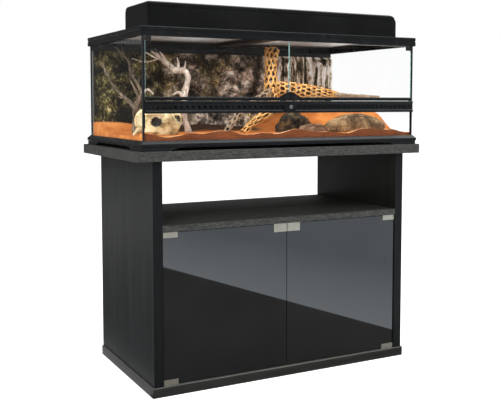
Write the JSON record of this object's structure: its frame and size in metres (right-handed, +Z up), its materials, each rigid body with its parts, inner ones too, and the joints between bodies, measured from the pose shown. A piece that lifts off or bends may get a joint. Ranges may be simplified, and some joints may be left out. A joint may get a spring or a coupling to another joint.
{
  "type": "reptile terrarium",
  "caption": "Low glass terrarium with hinged front doors, vent strip, screen top and canopy light, furnished as a desert, on a cabinet with an open niche and glass doors.",
  "frame": {"origin": "centre of the overall outline on the floor, under the base board", "axes": "+X to the viewer's right along the width, +Y from the front doors to the back, +Z up"},
  "size_m": [0.94, 0.494, 1.088],
  "materials": {
    "carcass": "matt dark laminate on board",
    "worktop": "satin dark laminate on board",
    "shelf_board": "matt dark laminate on board",
    "hardboard": "thin painted hardboard",
    "screw_steel": "zinc plated",
    "dowel_beech": "plain beech",
    "nylon": "natural nylon",
    "dark_glass": "tinted glass, polished",
    "clip_metal": "satin nickel",
    "latch_plastic": "satin",
    "frame_plastic": "satin moulded plastic",
    "clear_glass": "clear float glass",
    "silicone": "cured silicone",
    "lock_metal": "bright nickel",
    "pin_steel": "ground pin",
    "screen_plastic": "satin",
    "mesh": "woven stainless mesh",
    "hood_plastic": "semi-gloss black",
    "reflector": "polished sheet",
    "tube_glass": "white coated tube",
    "socket_plastic": "white moulded plastic",
    "ballast_metal": "painted steel case",
    "rocker_plastic": "red",
    "sand": "loose red desert sand",
    "rock_panel": "moulded rock, painted",
    "bone": "matt cast bone look",
    "driftwood": "bare weathered wood",
    "cholla": "bare cactus wood",
    "dark_stone": "rough",
    "pale_stone": "smooth, weathered"
  },
  "bodies": {
    "tank_and_cabinet": {"cabinet_base": "worktop", "cabinet_side_left": "carcass", "cabinet_side_right": "carcass", "cabinet_top": "worktop", "cabinet_shelf": "shelf_board", "cabinet_back_panel": "hardboard", "cabinet_screws": "screw_steel", "cabinet_dowels": "dowel_beech", "pivot_bushes": "nylon", "push_latch_body": "latch_plastic", "bottom_frame": "frame_plastic", "glass_floor": "clear_glass", "glass_left": "clear_glass", "glass_right": "clear_glass", "glass_back": "clear_glass", "glass_front": "clear_glass", "corner_seals": "silicone", "vent_strip": "frame_plastic", "hinge_blocks": "frame_plastic", "hinge_pins": "pin_steel", "top_frame": "frame_plastic", "sand_bed": "sand", "rock_background": "rock_panel", "skull_ornament": "bone", "driftwood_branches": "driftwood", "cholla_wood": "cholla", "dark_rock": "dark_stone", "smooth_stone": "pale_stone", "driftwood_piece": "driftwood"},
    "door_left": {"terrarium_door_left": "clear_glass", "door_rail_left": "frame_plastic", "door_clip_left": "frame_plastic", "lock_keeper_left": "pin_steel"},
    "door_right": {"terrarium_door_right": "clear_glass", "door_rail_right": "frame_plastic", "door_clip_right": "frame_plastic", "lock_keeper_right": "pin_steel"},
    "cabinet_door_l": {"cabinet_door_left": "dark_glass", "pivot_clips_left": "clip_metal", "strike_plate_left": "clip_metal"},
    "cabinet_door_r": {"cabinet_door_right": "dark_glass", "pivot_clips_right": "clip_metal", "strike_plate_right": "clip_metal"},
    "plunger_left": {"latch_plunger_left": "nylon"},
    "plunger_right": {"latch_plunger_right": "nylon"},
    "lock": {"lock_barrel": "lock_metal", "lock_cam": "pin_steel"},
    "screen_top": {"screen_frame": "screen_plastic", "screen_mesh_left": "mesh", "screen_mesh_right": "mesh"},
    "canopy": {"hood_shell": "hood_plastic", "hood_reflector": "reflector", "lamp_tubes": "tube_glass", "lamp_sockets": "socket_plastic", "hood_ballast": "ballast_metal", "switch_housing": "latch_plastic", "hood_cable_gland": "latch_plastic"},
    "switch": {"switch_rocker": "rocker_plastic"},
    "cable_slide_l": {"cable_slide_left": "frame_plastic"},
    "cable_slide_r": {"cable_slide_right": "frame_plastic"}
  },
  "joints": [
    {"name": "left_door_swing", "type": "hinge", "parent": "tank_and_cabinet", "child": "door_left", "pos_m": [-0.437, -0.234, 0.9], "axis": [0, 0, -1], "range_deg": [0, 110]},
    {"name": "right_door_swing", "type": "hinge", "parent": "tank_and_cabinet", "child": "door_right", "pos_m": [0.437, -0.234, 0.9], "axis": [0, 0, 1], "range_deg": [0, 110]},
    {"name": "left_cabinet_door_swing", "type": "hinge", "parent": "tank_and_cabinet", "child": "cabinet_door_l", "pos_m": [-0.38, -0.2215, 0.24], "axis": [0, 0, -1], "range_deg": [0, 100]},
    {"name": "right_cabinet_door_swing", "type": "hinge", "parent": "tank_and_cabinet", "child": "cabinet_door_r", "pos_m": [0.38, -0.2215, 0.24], "axis": [0, 0, 1], "range_deg": [0, 100]},
    {"name": "left_push_latch", "type": "slide", "parent": "tank_and_cabinet", "child": "plunger_left", "axis": [0, 1, 0], "range_m": [0, 0.003], "stiffness_N_per_m": 300, "springref_m": -0.003},
    {"name": "right_push_latch", "type": "slide", "parent": "tank_and_cabinet", "child": "plunger_right", "axis": [0, 1, 0], "range_m": [0, 0.003], "stiffness_N_per_m": 300, "springref_m": -0.003},
    {"name": "lock_turn", "type": "hinge", "parent": "tank_and_cabinet", "child": "lock", "pos_m": [0, -0.235, 0.796], "axis": [0, -1, 0], "range_deg": [0, 90]},
    {"name": "screen_lift", "type": "slide", "parent": "tank_and_cabinet", "child": "screen_top", "axis": [0, 0, 1], "range_m": [0, 0.1]},
    {"name": "canopy_lift", "type": "slide", "parent": "screen_top", "child": "canopy", "axis": [0, 0, 1], "range_m": [0, 0.15]},
    {"name": "switch_rock", "type": "hinge", "parent": "canopy", "child": "switch", "pos_m": [0.361, 0.0355, 1.054], "axis": [1, 0, 0], "range_deg": [-16, 0]},
    {"name": "left_cable_slide", "type": "slide", "parent": "tank_and_cabinet", "child": "cable_slide_l", "axis": [-1, 0, 0], "range_m": [0, 0.03]},
    {"name": "right_cable_slide", "type": "slide", "parent": "tank_and_cabinet", "child": "cable_slide_r", "axis": [1, 0, 0], "range_m": [0, 0.03]}
  ]
}
